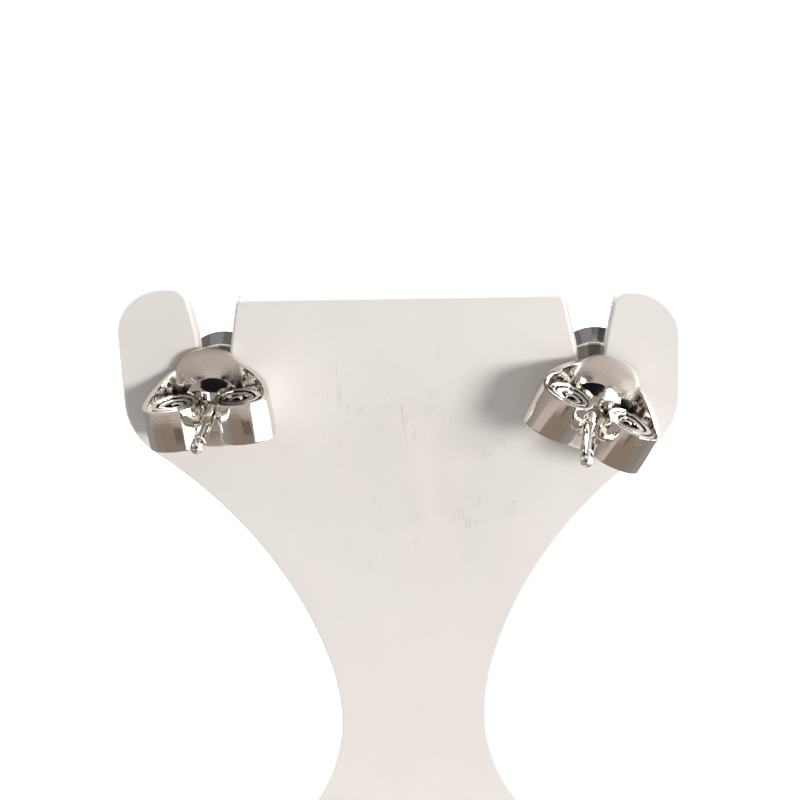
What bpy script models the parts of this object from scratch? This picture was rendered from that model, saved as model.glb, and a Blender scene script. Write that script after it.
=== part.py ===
"""A pair of rub-over set diamond stud earrings on a bent plastic display stand.

Metres, +Z up. The origin is the middle of the foot's underside. The stones face -Y, and the stand
leans back towards +Y, where the posts come through it and the butterfly backs grip them.
"""

from math import acos, atan2, cos, hypot, pi, radians, sin, sqrt, tan

import bmesh
import bpy
from mathutils import Matrix, Vector

# Sheet that the stand is bent from
SHEET = 0.0015
SHEET_EDGE_ROUND = 0.00035
LEAN = radians(10.0)
BEND_INNER_RADIUS = 0.0025
BEND_STEPS = 8

# Plate outline: heights are measured up the plate from the line that the posts hang on
PLATE_HALF_WIDTH = 0.01675
EAR_LOWER_RADIUS = 0.00429
FLANK_RADIUS = 0.0282
NECK_RADIUS = 0.0163
NECK_SWEEP = radians(16.0)
NECK_HALF_WIDTH = 0.00465
NECK_DROP = 0.0224
SKIRT_RADIUS = 0.01115
CENTRE_TOP = 0.00665
CENTRE_CORNER_RADIUS = 0.00045

# Foot
FOOT_HALF_WIDTH = 0.0135
FOOT_SHOULDER_RADIUS = 0.003
FOOT_LENGTH = 0.024
FOOT_CORNER_RADIUS = 0.004

# Ears and slots: the wearer's left ear is a little taller
EAR_OUTER_RADIUS = 0.003
EAR_INNER_RADIUS = 0.001
SLOT_CLEARANCE = 0.00028
SLOT_BEND_RADIUS = 0.006
SLOT_WAIST_HEIGHT = 0.003
SLOT_MOUTH_TO_CENTRE = 0.00165
SLOT_MOUTH_TO_EAR = 0.0014

# Post
POST_RADIUS = 0.00039
POST_REACH = 0.00714
POST_GROOVE_DEPTH = 0.00005
POST_GROOVE_FROM_TIP = 0.00088
POST_GROOVE_LENGTH = 0.00022
SOLDER_FILLET = 0.00016

# Brilliant
STONE_RADIUS = 0.0022
STONE_GIRDLE = 0.00013
TABLE_SHARE = 0.57
CROWN_ANGLE = radians(34.5)
PAVILION_ANGLE = radians(40.8)
STAR_SHARE = 0.52
LOWER_HALF_SHARE = 0.77
STONE_SIDES = 32

# Rub-over cup
STONE_CLEARANCE = 0.0001
CUP_WALL = 0.0003
CUP_TAPER = 0.00018
CUP_BASE_RADIUS = 0.0013
CUP_FLOOR = 0.0002
CUP_SIDE_HEIGHT = 0.0017
CUP_LIP_OVERLAP = 0.00022
CUP_LIP_HEIGHT = 0.0003
CUP_SIDES = 24

# Butterfly back, rolled from one strip
BACK_SHEET = 0.00024
BACK_DISC_RADIUS = 0.00325
BACK_DISC_RISE = 0.00035
BACK_CREASE = 0.0019
BACK_DOME_RADIUS = 0.00175
BACK_DOME_HEIGHT = 0.0005
BACK_DISC_FALL = 0.0002
BACK_HOLE_CLEARANCE = 0.00012
BACK_GRIP_CLEARANCE = 0.00013
BACK_DEPTH = 0.0038
BACK_LOOP_WIDTH = 0.00302
BACK_WING_HALF_WIDTH = 0.00128
BACK_RIM_STEPS = 24

# Running gaps between the stand and what hangs on it
STAND_GAP = 0.0003

# Each stud: its side along X, place of its post on the plate, top of its ear; from the post, the
# slot's near edge at waist height, its outer edge and the height where that flares; tilt of the post
# (towards the middle and down), share of that tilt that its back follows, turn of its back
STUDS = {
    "left": dict(side=1, across=0.01113, height=0.0002, ear_top=0.00743,
                 slot_waist=0.00102, slot_side=0.00085, slot_flare=0.0043,
                 inward=radians(-2.2), droop=radians(-0.7), square=0.0, turn=radians(-6.0)),
    "right": dict(side=-1, across=0.0115, height=-0.00025, ear_top=0.0068,
                  slot_waist=0.00092, slot_side=0.0007, slot_flare=0.0034,
                  inward=radians(3.7), droop=radians(5.3), square=0.5, turn=radians(27.5)),
}

# Wing of the back, section by section from the crease to the strip's inner end: distance from where
# it grips the post as a share of BACK_LOOP_WIDTH, height over the disc as a share of the back's depth,
# and half width of the strip as a share of BACK_WING_HALF_WIDTH
WING_SECTIONS = (
    (0.536, 0.056, 1.74), (0.709, 0.201, 1.45), (0.854, 0.381, 1.23), (0.954, 0.562, 1.10),
    (1.000, 0.712, 1.04), (0.960, 0.839, 1.00), (0.841, 0.929, 1.00), (0.669, 0.980, 1.00),
    (0.464, 1.000, 1.00), (0.265, 0.980, 1.00), (0.109, 0.907, 1.00), (0.017, 0.788, 1.00),
    (0.000, 0.669, 1.00), (0.033, 0.542, 1.00), (0.142, 0.429, 1.00), (0.318, 0.364, 1.00),
    (0.517, 0.376, 0.99), (0.675, 0.455, 0.98), (0.788, 0.571, 0.98), (0.841, 0.698, 0.98),
    (0.791, 0.805, 0.98), (0.649, 0.876, 0.98), (0.464, 0.898, 0.98), (0.285, 0.876, 0.97),
    (0.166, 0.802, 0.97), (0.123, 0.698, 0.96), (0.149, 0.585, 0.96), (0.245, 0.500, 0.95),
    (0.384, 0.472, 0.94), (0.530, 0.511, 0.93), (0.649, 0.599, 0.92), (0.695, 0.698, 0.92),
    (0.603, 0.771, 0.91), (0.450, 0.794, 0.90), (0.318, 0.768, 0.90), (0.255, 0.692, 0.90),
    (0.291, 0.610, 0.90), (0.397, 0.579, 0.90), (0.510, 0.624, 0.90),
)


def clear_objects():
    for thing in list(bpy.data.objects):
        bpy.data.objects.remove(thing, do_unlink=True)


def verts_of(geometry):
    return [item for item in geometry if isinstance(item, bmesh.types.BMVert)]


def edges_of(geometry):
    return [item for item in geometry if isinstance(item, bmesh.types.BMEdge)]


def material(name, colour, roughness, metallic=0.0, transmission=0.0):
    mat = bpy.data.materials.new(name)
    mat.use_nodes = True
    shader = mat.node_tree.nodes["Principled BSDF"]
    shader.inputs["Base Color"].default_value = (*colour, 1.0)
    shader.inputs["Roughness"].default_value = roughness
    shader.inputs["Metallic"].default_value = metallic
    shader.inputs["Transmission Weight"].default_value = transmission
    return mat


def add_object(name, bm, mat, parent, sharp_angle=35.0):
    mesh = bpy.data.meshes.new(name)
    bm.to_mesh(mesh)
    bm.free()
    mesh.materials.append(mat)
    mesh.shade_smooth()
    mesh.set_sharp_from_angle(angle=radians(sharp_angle))
    thing = bpy.data.objects.new(name, mesh)
    bpy.context.scene.collection.objects.link(thing)
    thing.parent = parent
    return thing


def add_empty(name, matrix, parent=None):
    empty = bpy.data.objects.new(name, None)
    empty.location = matrix.to_translation()
    empty.rotation_euler = matrix.to_euler()
    empty.empty_display_size = 0.004
    bpy.context.scene.collection.objects.link(empty)
    empty.parent = parent
    return empty


def arc(centre, radius, start, end, steps):
    """Points of an arc, angles in radians from the first axis, both ends included."""
    turn = (end - start) / steps
    return [(centre[0] + radius * cos(start + turn * i), centre[1] + radius * sin(start + turn * i))
            for i in range(steps + 1)]


def rounded(corners, steps=6):
    """A path through corners (across, height, radius), rounded less where two rounds would meet."""
    spots = [Vector(corner[:2]) for corner in corners]
    reaches = [0.0]
    for i in range(1, len(corners) - 1):
        half = (spots[i - 1] - spots[i]).angle(spots[i + 1] - spots[i]) / 2
        reaches.append(corners[i][2] / tan(half))
    reaches.append(0.0)
    points = [corners[0][:2]]
    for i in range(1, len(corners) - 1):
        back, ahead = spots[i - 1] - spots[i], spots[i + 1] - spots[i]
        half = back.angle(ahead) / 2
        room = min(back.length / (reaches[i - 1] + reaches[i]), ahead.length / (reaches[i] + reaches[i + 1]))
        reach = reaches[i] * min(1.0, 0.98 * room)
        radius = reach * tan(half)
        centre = spots[i] + (back.normalized() + ahead.normalized()).normalized() * (radius / sin(half))
        first = spots[i] + back.normalized() * reach - centre
        sweep = first.angle_signed(spots[i] + ahead.normalized() * reach - centre)
        begin = atan2(first.y, first.x)
        points += arc(centre, radius, begin, begin - sweep, steps)
    return points + [corners[-1][:2]]


def bend_length():
    return (BEND_INNER_RADIUS + SHEET / 2) * (pi / 2 + LEAN)


def bend_start():
    """Height on the plate where the bend to the foot begins, just under the skirt's shoulder."""
    drop = sqrt((SKIRT_RADIUS + FOOT_SHOULDER_RADIUS) ** 2
                - (NECK_HALF_WIDTH + SKIRT_RADIUS - FOOT_HALF_WIDTH + FOOT_SHOULDER_RADIUS) ** 2)
    return -NECK_DROP - drop - SHEET / 3


def flank():
    """The side of the plate, from the ear's widest point down to the skirt's shoulder."""
    neck = (NECK_HALF_WIDTH + NECK_RADIUS, -NECK_DROP)
    flank_centre = (neck[0] + (FLANK_RADIUS - NECK_RADIUS) * cos(NECK_SWEEP),
                    neck[1] - (FLANK_RADIUS - NECK_RADIUS) * sin(NECK_SWEEP))
    ear = PLATE_HALF_WIDTH - EAR_LOWER_RADIUS
    apart = flank_centre[0] - ear
    ear_height = flank_centre[1] + sqrt((FLANK_RADIUS + EAR_LOWER_RADIUS) ** 2 - apart ** 2)
    meet = atan2(ear_height - flank_centre[1], apart)
    skirt = (NECK_HALF_WIDTH + SKIRT_RADIUS, -NECK_DROP)
    foot_turn = acos((skirt[0] - FOOT_HALF_WIDTH + FOOT_SHOULDER_RADIUS)
                     / (SKIRT_RADIUS + FOOT_SHOULDER_RADIUS))
    shoulder = (FOOT_HALF_WIDTH - FOOT_SHOULDER_RADIUS, bend_start() + SHEET / 3)
    return (arc((ear, ear_height), EAR_LOWER_RADIUS, 0, -meet, 10)
            + arc(flank_centre, FLANK_RADIUS, pi - meet, pi - NECK_SWEEP, 12)[1:]
            + arc(neck, NECK_RADIUS, pi - NECK_SWEEP, pi, 6)[1:]
            + arc(skirt, SKIRT_RADIUS, pi, pi + foot_turn, 14)[1:]
            + arc(shoulder, FOOT_SHOULDER_RADIUS, foot_turn, 0, 6)[1:])


def half_outline(stud):
    """Half of the flat sheet's outline, from the middle of its top edge to the end of the foot."""
    across, height = post_crossing(stud, -SHEET / 2)
    top = stud["ear_top"]
    slot = POST_RADIUS + SLOT_CLEARANCE
    floor = height - slot
    mouth = across - SLOT_MOUTH_TO_CENTRE
    slot_and_ear = rounded([
        (0, CENTRE_TOP, 0),
        (mouth, CENTRE_TOP, CENTRE_CORNER_RADIUS),
        (across - stud["slot_waist"], height + SLOT_WAIST_HEIGHT, SLOT_BEND_RADIUS),
        (across - slot, floor, slot),
        (across + slot, floor, slot),
        (across + stud["slot_side"], height + stud["slot_flare"], SLOT_BEND_RADIUS),
        (across + SLOT_MOUTH_TO_EAR, top, EAR_INNER_RADIUS),
        (PLATE_HALF_WIDTH, top, EAR_OUTER_RADIUS),
        (PLATE_HALF_WIDTH, flank()[0][1] + EAR_LOWER_RADIUS / 10, 0),
    ], steps=8)
    foot_end = bend_start() - bend_length() - FOOT_LENGTH
    foot = rounded([
        (FOOT_HALF_WIDTH, bend_start(), 0),
        (FOOT_HALF_WIDTH, foot_end, FOOT_CORNER_RADIUS),
        (0, foot_end, 0),
    ])
    return slot_and_ear + flank() + foot


def bent(point):
    """A point of the flat sheet, moved to its place round the bend or on the foot."""
    past = bend_start() - point.z
    if past <= 0:
        return point
    whole = pi / 2 + LEAN
    turn = min(past / bend_length(), 1.0) * whole
    radius = BEND_INNER_RADIUS - point.y
    beyond = max(past - bend_length(), 0.0)
    return Vector((point.x,
                   BEND_INNER_RADIUS - radius * cos(turn) + beyond * sin(turn),
                   bend_start() - radius * sin(turn) - beyond * cos(turn)))


def stand_mesh():
    right_half = half_outline(STUDS["left"])
    left_half = [(-x, z) for x, z in half_outline(STUDS["right"])]
    outline = right_half[:-1] + left_half[:0:-1]
    bm = bmesh.new()
    sheet = bm.faces.new([bm.verts.new((x, 0, z)) for x, z in outline])
    front = bmesh.ops.extrude_face_region(bm, geom=[sheet])["geom"]
    bmesh.ops.translate(bm, vec=(0, -SHEET, 0), verts=verts_of(front))
    bmesh.ops.recalc_face_normals(bm, faces=bm.faces)
    rims = [edge for edge in bm.edges if abs(edge.verts[0].co.y - edge.verts[1].co.y) < SHEET / 10]
    bmesh.ops.bevel(bm, geom=rims, offset=SHEET_EDGE_ROUND, segments=2, profile=0.5,
                    affect="EDGES", clamp_overlap=False, material=-1)
    for step in range(BEND_STEPS + 1):
        cut = bend_start() - bend_length() * step / BEND_STEPS
        bmesh.ops.bisect_plane(bm, geom=bm.verts[:] + bm.edges[:] + bm.faces[:],
                               dist=1e-7, plane_co=(0, 0, cut), plane_no=(0, 0, 1))
    for vert in bm.verts:
        vert.co = bent(vert.co)
    return bm


def plate_frame():
    """Places the plate: its own frame has +Z up the plate and its back face at Y = 0."""
    lean = Matrix.Rotation(-LEAN, 4, "X")
    bend_middle = lean @ Vector((0, BEND_INNER_RADIUS, bend_start()))
    wanted = Vector((0, -FOOT_LENGTH / 2, BEND_INNER_RADIUS + SHEET))
    return Matrix.Translation(wanted - bend_middle) @ lean


def post_crossing(stud, depth):
    """Where the post's axis crosses a plane behind the plate's back face: across and height."""
    return stud["across"] - depth * tan(stud["inward"]), stud["height"] - depth * tan(stud["droop"])


def tilted(stud, share):
    """Turns +Z from square on the plate's front towards the post's direction, by a share of its tilt."""
    return (Matrix.Rotation(pi / 2 - share * stud["droop"], 4, "X")
            @ Matrix.Rotation(stud["side"] * share * stud["inward"], 4, "Y"))


def stud_frame(stud):
    """The post's own frame in the plate's: +Z runs along the post to the stone's table."""
    place = Vector((stud["side"] * stud["across"], 0, stud["height"]))
    return Matrix.Translation(place) @ tilted(stud, 1.0)


def back_frame(stud):
    """The back's own frame in the plate's: +Z points away from the stand, wings along X."""
    depth = STAND_GAP + lean_allowance(stud, BACK_DISC_RADIUS + BACK_DISC_RISE, stud["square"])
    across, height = post_crossing(stud, depth)
    place = Vector((stud["side"] * across, depth, height))
    turn = Matrix.Rotation(pi + stud["turn"], 4, "Z") @ Matrix.Rotation(pi, 4, "X")
    return Matrix.Translation(place) @ tilted(stud, stud["square"]) @ turn


def lean_allowance(stud, radius, share=1.0):
    """How much nearer to the plate the rim of a tilted disc comes."""
    return radius * sin(share * hypot(stud["inward"], stud["droop"]))


def cup_back(stud):
    return SHEET + STAND_GAP + lean_allowance(stud, CUP_BASE_RADIUS)


def stone_depth():
    return STONE_RADIUS * tan(PAVILION_ANGLE)


def girdle_height(stud):
    """Height of the girdle's lower edge over the stand's back face."""
    return cup_back(stud) + CUP_FLOOR + STONE_CLEARANCE / cos(PAVILION_ANGLE) + stone_depth()


def cup_profile(stud):
    """Half section of cup and post, from the post's tip round the outside to the inner floor."""
    back = cup_back(stud)
    girdle = girdle_height(stud)
    rim = girdle + STONE_GIRDLE + CUP_LIP_HEIGHT
    bore = STONE_RADIUS + STONE_CLEARANCE
    outer = bore + CUP_WALL
    groove = -POST_REACH + POST_GROOVE_FROM_TIP
    neck = POST_RADIUS - POST_GROOVE_DEPTH
    tip = [(r, z - POST_REACH + POST_RADIUS) for r, z in arc((0, 0), POST_RADIUS, -pi / 2, 0, 5)]
    seat_slip = STONE_CLEARANCE / cos(PAVILION_ANGLE)
    floor_radius = POST_RADIUS * 0.6
    seat_floor = girdle - stone_depth() - seat_slip + floor_radius * tan(PAVILION_ANGLE)
    lip = STONE_RADIUS - CUP_LIP_OVERLAP
    return tip + [
        (POST_RADIUS, groove),
        (neck, groove + POST_GROOVE_LENGTH / 3),
        (neck, groove + POST_GROOVE_LENGTH * 2 / 3),
        (POST_RADIUS, groove + POST_GROOVE_LENGTH),
        (POST_RADIUS, back - SOLDER_FILLET),
        (POST_RADIUS + SOLDER_FILLET * 0.3, back - SOLDER_FILLET * 0.3),
        (POST_RADIUS + SOLDER_FILLET, back),
        (CUP_BASE_RADIUS, back),
        (outer - CUP_TAPER - CUP_WALL / 4, rim - CUP_SIDE_HEIGHT - CUP_WALL / 4),
        (outer - CUP_TAPER, rim - CUP_SIDE_HEIGHT),
        (outer, rim - CUP_WALL / 3),
        (outer - CUP_WALL / 6, rim),
        (bore - CUP_WALL / 4, rim + CUP_WALL / 6),
        (lip, rim - CUP_WALL / 8),
        (bore, girdle + STONE_GIRDLE + STONE_CLEARANCE / 2),
        (bore, girdle - STONE_CLEARANCE / 2),
        (floor_radius, seat_floor),
        (0, seat_floor),
    ]


def turned(profile, sides):
    """A closed body turned round Z from a half section whose two ends are on the axis."""
    bm = bmesh.new()
    verts = [bm.verts.new((r, 0, z)) for r, z in profile]
    edges = [bm.edges.new(pair) for pair in zip(verts, verts[1:])]
    bmesh.ops.spin(bm, geom=verts + edges, cent=(0, 0, 0), axis=(0, 0, 1), angle=2 * pi,
                   steps=sides, use_merge=True)
    bmesh.ops.remove_doubles(bm, verts=bm.verts, dist=1e-7)
    bmesh.ops.recalc_face_normals(bm, faces=bm.faces)
    return bm


def cut_facet(bm, through, outward):
    """Grinds one flat facet, as a cutter does: what lies beyond the plane is taken off."""
    cut = bmesh.ops.bisect_plane(bm, geom=bm.verts[:] + bm.edges[:] + bm.faces[:], dist=2e-7,
                                 plane_co=through, plane_no=outward, clear_outer=True)
    rim = [edge for edge in edges_of(cut["geom_cut"]) if len(edge.link_faces) == 1]
    if rim:
        bmesh.ops.edgeloop_fill(bm, edges=rim)


def plane_normal(a, b, c):
    normal = (b - a).cross(c - a).normalized()
    return normal if normal.dot(a + b + c) > 0 else -normal


def brilliant_mesh():
    """A round brilliant cut from a cylinder; Z = 0 is the lower edge of its girdle."""
    step = pi / 8
    top, table = STONE_GIRDLE, STONE_RADIUS * TABLE_SHARE
    crown = (STONE_RADIUS - table) * tan(CROWN_ANGLE)
    star = table * cos(step) + STAR_SHARE * (STONE_RADIUS - table * cos(step))
    star_height = top + (STONE_RADIUS - star * cos(step)) * tan(CROWN_ANGLE)
    half = STONE_RADIUS * (1 - LOWER_HALF_SHARE)
    half_height = -(STONE_RADIUS - half * cos(step)) * tan(PAVILION_ANGLE)

    def at(radius, turn, height):
        return Vector((radius * cos(turn), radius * sin(turn), height))

    bm = bmesh.new()
    height = top + crown + stone_depth()
    bmesh.ops.create_cone(bm, cap_ends=True, segments=STONE_SIDES, radius1=STONE_RADIUS,
                          radius2=STONE_RADIUS, depth=height * 1.2)
    bmesh.ops.translate(bm, vec=(0, 0, top + crown - height / 2), verts=bm.verts)
    cut_facet(bm, Vector((0, 0, top + crown)), Vector((0, 0, 1)))
    for i in range(8):
        turn = i * 2 * step
        edge = at(STONE_RADIUS, turn, top)
        cut_facet(bm, edge, at(sin(CROWN_ANGLE), turn, cos(CROWN_ANGLE)))
        cut_facet(bm, at(STONE_RADIUS, turn, 0), at(sin(PAVILION_ANGLE), turn, -cos(PAVILION_ANGLE)))
    for i in range(8):
        turn = i * 2 * step
        between = turn + step
        corner = at(table, turn, top + crown)
        other = at(table, turn + 2 * step, top + crown)
        joint = at(star, between, star_height)
        cut_facet(bm, joint, plane_normal(corner, other, joint))
        keel = at(half, between, half_height)
        for side in (turn, turn + 2 * step):
            upper = [joint, at(STONE_RADIUS, side, top), at(STONE_RADIUS, between, top)]
            cut_facet(bm, upper[1], plane_normal(*upper))
            lower = [keel, at(STONE_RADIUS, side, 0), at(STONE_RADIUS, between, 0)]
            cut_facet(bm, lower[1], plane_normal(*lower))
    bmesh.ops.remove_doubles(bm, verts=bm.verts, dist=1e-6)
    bmesh.ops.recalc_face_normals(bm, faces=bm.faces)
    return bm


def wing_point(out, up):
    """A point of a wing's middle surface: its loop comes to the post's grip clearance."""
    grip = POST_RADIUS + BACK_GRIP_CLEARANCE + BACK_SHEET / 2
    return grip + out * BACK_LOOP_WIDTH, up * (BACK_DEPTH - BACK_SHEET)


def disc_height(radius, rim=BACK_DISC_RADIUS):
    """Height of the disc's middle surface over its rim: a dome that stands on a flat cone."""
    if radius >= BACK_DOME_RADIUS:
        return BACK_DISC_FALL * max(0.0, (rim - radius) / (rim - BACK_DOME_RADIUS))
    sphere = (BACK_DOME_RADIUS ** 2 + BACK_DOME_HEIGHT ** 2) / (2 * BACK_DOME_HEIGHT)
    return BACK_DISC_FALL + sqrt(sphere ** 2 - radius ** 2) - (sphere - BACK_DOME_HEIGHT)


def disc_rim(turn):
    """A point of the disc's rim: a circle whose middle is a little above the hole, cut at the creases."""
    rim = (BACK_DISC_RISE * sin(turn)
           + sqrt(BACK_DISC_RADIUS ** 2 - (BACK_DISC_RISE * cos(turn)) ** 2))
    radius = rim
    if abs(cos(turn)) * BACK_DISC_RADIUS > BACK_CREASE:
        radius = BACK_CREASE / abs(cos(turn))
    return Vector((radius * cos(turn), radius * sin(turn), disc_height(radius, rim)))


def butterfly_mesh():
    """Middle surface of the back: +Z away from the stand, the wings along X."""
    bm = bmesh.new()
    hole = POST_RADIUS + BACK_HOLE_CLEARANCE
    start = pi / BACK_RIM_STEPS
    ring = bmesh.ops.create_circle(bm, segments=BACK_RIM_STEPS, radius=hole)["verts"]
    bmesh.ops.rotate(bm, verts=ring, cent=(0, 0, 0), matrix=Matrix.Rotation(start, 3, "Z"))
    bmesh.ops.translate(bm, verts=ring, vec=(0, 0, disc_height(hole)))
    edges = bm.edges[:]
    for share in (0.3, 0.65, 1.0, None):
        made = bmesh.ops.extrude_edge_only(bm, edges=edges)["geom"]
        edges = edges_of(made)
        for vert in verts_of(made):
            turn = atan2(vert.co.y, vert.co.x)
            if share is None:
                vert.co = disc_rim(turn)
            else:
                radius = hole + share * (BACK_DOME_RADIUS - hole)
                vert.co = (radius * cos(turn), radius * sin(turn), disc_height(radius))
    for side in (1, -1):
        crease = [e for e in edges if all(abs(v.co.x - side * BACK_CREASE) < 1e-7 for v in e.verts)]
        widest = max(abs(v.co.y) for e in crease for v in e.verts)
        for out, up, width in WING_SECTIONS:
            made = bmesh.ops.extrude_edge_only(bm, edges=crease)["geom"]
            crease = edges_of(made)
            across, height = wing_point(out, up)
            for vert in verts_of(made):
                vert.co.x = side * across
                vert.co.y *= width * BACK_WING_HALF_WIDTH / widest
                vert.co.z = height
            widest = width * BACK_WING_HALF_WIDTH
    bmesh.ops.translate(bm, verts=bm.verts, vec=(0, 0, BACK_SHEET / 2))
    bmesh.ops.recalc_face_normals(bm, faces=bm.faces)
    return bm


def add_stud(side, stud, plate, metal, back_metal, diamond):
    frame = add_empty(f"{side}_post_axis", stud_frame(stud), plate)
    add_object(f"{side}_setting", turned(cup_profile(stud), CUP_SIDES), metal, frame)
    stone = add_object(f"{side}_diamond", brilliant_mesh(), diamond, frame, sharp_angle=1.0)
    stone.location.z = girdle_height(stud)
    axis = add_empty(f"{side}_back_axis", back_frame(stud), plate)
    back = add_object(f"{side}_butterfly_back", butterfly_mesh(), back_metal, axis)
    wall = back.modifiers.new("wall", "SOLIDIFY")
    wall.thickness = BACK_SHEET
    wall.offset = 0.0
    wall.use_even_offset = True


def main():
    clear_objects()
    plastic = material("white_satin_plastic", (0.80, 0.77, 0.74), 0.38)
    metal = material("polished_white_gold", (0.78, 0.75, 0.71), 0.09, metallic=1.0)
    back_metal = material("pressed_white_gold", (0.74, 0.70, 0.65), 0.12, metallic=1.0)
    diamond = material("diamond", (0.97, 0.98, 1.0), 0.0, transmission=1.0)
    plate = add_empty("plate_frame", plate_frame())
    add_object("display_stand", stand_mesh(), plastic, plate, sharp_angle=50.0)
    for side, stud in STUDS.items():
        add_stud(side, stud, plate, metal, back_metal, diamond)


main()
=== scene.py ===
"""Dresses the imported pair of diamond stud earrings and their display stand.

Metres, +Z up. The stones face -Y, the posts and their butterfly backs point to +Y.
"""

from math import acos, atan2, cos, hypot, pi, radians, sin, sqrt, tan

import bmesh
import bpy
from bpy.props import FloatProperty, FloatVectorProperty, PointerProperty
from mathutils import Matrix, Vector


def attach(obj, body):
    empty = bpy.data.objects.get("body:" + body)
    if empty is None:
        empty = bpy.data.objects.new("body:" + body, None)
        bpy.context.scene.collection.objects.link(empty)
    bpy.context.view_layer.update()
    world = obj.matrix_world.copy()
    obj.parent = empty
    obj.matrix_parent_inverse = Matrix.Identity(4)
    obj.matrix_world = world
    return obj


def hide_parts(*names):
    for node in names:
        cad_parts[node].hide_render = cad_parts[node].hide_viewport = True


bl_info = {
    "name": "Stud earrings on a display stand",
    "version": (1, 0, 0),
    "blender": (4, 5, 0),
    "location": "3D View > Sidebar > Earrings",
    "description": "Finishes the stand, the set stones and the butterfly backs of a pair of studs",
    "category": "Add Mesh",
}

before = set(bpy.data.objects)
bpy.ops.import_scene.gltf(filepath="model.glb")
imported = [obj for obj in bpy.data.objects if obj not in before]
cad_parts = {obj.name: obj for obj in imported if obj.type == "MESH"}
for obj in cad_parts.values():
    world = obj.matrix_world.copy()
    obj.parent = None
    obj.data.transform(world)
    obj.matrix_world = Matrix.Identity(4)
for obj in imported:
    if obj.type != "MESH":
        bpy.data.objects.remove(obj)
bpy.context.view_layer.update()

# Sheet that the stand is bent from
SHEET = 0.0015
LEAN = radians(10.0)
BEND_INNER_RADIUS = 0.0025
BEND_STEPS = 36

# Plate outline: heights are measured up the plate from the line that the posts hang on
PLATE_HALF_WIDTH = 0.01675
EAR_LOWER_RADIUS = 0.00429
FLANK_RADIUS = 0.0282
NECK_RADIUS = 0.0163
NECK_SWEEP = radians(16.0)
NECK_HALF_WIDTH = 0.00465
NECK_DROP = 0.0224
SKIRT_RADIUS = 0.01115
CENTRE_TOP = 0.00665
CENTRE_CORNER_RADIUS = 0.00045
FOOT_HALF_WIDTH = 0.0135
FOOT_SHOULDER_RADIUS = 0.003
FOOT_LENGTH = 0.024
FOOT_CORNER_RADIUS = 0.004
EAR_OUTER_RADIUS = 0.003
EAR_INNER_RADIUS = 0.001
SLOT_CLEARANCE = 0.00028
SLOT_BEND_RADIUS = 0.006
SLOT_WAIST_HEIGHT = 0.003
SLOT_MOUTH_TO_CENTRE = 0.00165
SLOT_MOUTH_TO_EAR = 0.0014

# Post, stone and cup
POST_RADIUS = 0.00039
POST_REACH = 0.00714
POST_GROOVE_DEPTH = 0.00005
POST_GROOVE_FROM_TIP = 0.00088
POST_GROOVE_LENGTH = 0.00022
SOLDER_FILLET = 0.00016
STONE_RADIUS = 0.0022
STONE_GIRDLE = 0.00013
PAVILION_ANGLE = radians(40.8)
STONE_CLEARANCE = 0.0001
CUP_WALL = 0.0003
CUP_TAPER = 0.00018
CUP_BASE_RADIUS = 0.0013
CUP_FLOOR = 0.0002
CUP_SIDE_HEIGHT = 0.0017
CUP_LIP_OVERLAP = 0.00022
CUP_LIP_HEIGHT = 0.0003
CUP_SIDES = 128

# Butterfly back
BACK_SHEET = 0.00024
STRIP_AS_ROLLED = 0.0003
BACK_DISC_RADIUS = 0.00325
BACK_DISC_RISE = 0.00035
BACK_CREASE = 0.0019
BACK_DOME_RADIUS = 0.00175
BACK_DOME_HEIGHT = 0.0005
BACK_DISC_FALL = 0.0002
BACK_HOLE_CLEARANCE = 0.00012
BACK_GRIP_CLEARANCE = 0.00013
BACK_DEPTH = 0.0038
BACK_LOOP_WIDTH = 0.00302
BACK_WING_HALF_WIDTH = 0.00128
BACK_RIM_STEPS = 24
STAND_GAP = 0.0003

# Each stud, as the part's source has it: side along X, place of its post, top of its ear, its slot,
# tilt of the post, share of the tilt that its back follows and turn of its back
STUDS = {
    "left": dict(side=1, across=0.01113, height=0.0002, ear_top=0.00743,
                 slot_waist=0.00102, slot_side=0.00085, slot_flare=0.0043,
                 inward=radians(-2.2), droop=radians(-0.7), square=0.0, turn=radians(-6.0)),
    "right": dict(side=-1, across=0.0115, height=-0.00025, ear_top=0.0068,
                  slot_waist=0.00092, slot_side=0.0007, slot_flare=0.0034,
                  inward=radians(3.7), droop=radians(5.3), square=0.5, turn=radians(27.5)),
}

# Wing of the back, section by section from the crease to the strip's inner end: distance from where
# it grips the post as a share of BACK_LOOP_WIDTH, height over the disc as a share of the back's
# depth, and half width of the strip as a share of BACK_WING_HALF_WIDTH
WING_SECTIONS = (
    (0.570, 0.073, 1.74), (0.755, 0.184, 1.45), (0.897, 0.345, 1.23), (0.977, 0.542, 1.10),
    (1.000, 0.712, 1.04), (0.960, 0.839, 1.00), (0.841, 0.929, 1.00), (0.669, 0.980, 1.00),
    (0.464, 1.000, 1.00), (0.265, 0.980, 1.00), (0.109, 0.907, 1.00), (0.017, 0.788, 1.00),
    (0.000, 0.669, 1.00), (0.033, 0.542, 1.00), (0.142, 0.429, 1.00), (0.318, 0.364, 1.00),
    (0.517, 0.376, 0.99), (0.675, 0.455, 0.98), (0.788, 0.571, 0.98), (0.841, 0.698, 0.98),
    (0.791, 0.805, 0.98), (0.649, 0.876, 0.98), (0.464, 0.898, 0.98), (0.285, 0.876, 0.97),
    (0.166, 0.802, 0.97), (0.123, 0.698, 0.96), (0.149, 0.585, 0.96), (0.245, 0.500, 0.95),
    (0.384, 0.472, 0.94), (0.530, 0.511, 0.93), (0.649, 0.599, 0.92), (0.695, 0.698, 0.92),
    (0.603, 0.771, 0.91), (0.450, 0.794, 0.90), (0.318, 0.768, 0.90), (0.255, 0.692, 0.90),
    (0.291, 0.610, 0.90), (0.397, 0.579, 0.90), (0.510, 0.624, 0.90),
)

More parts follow.
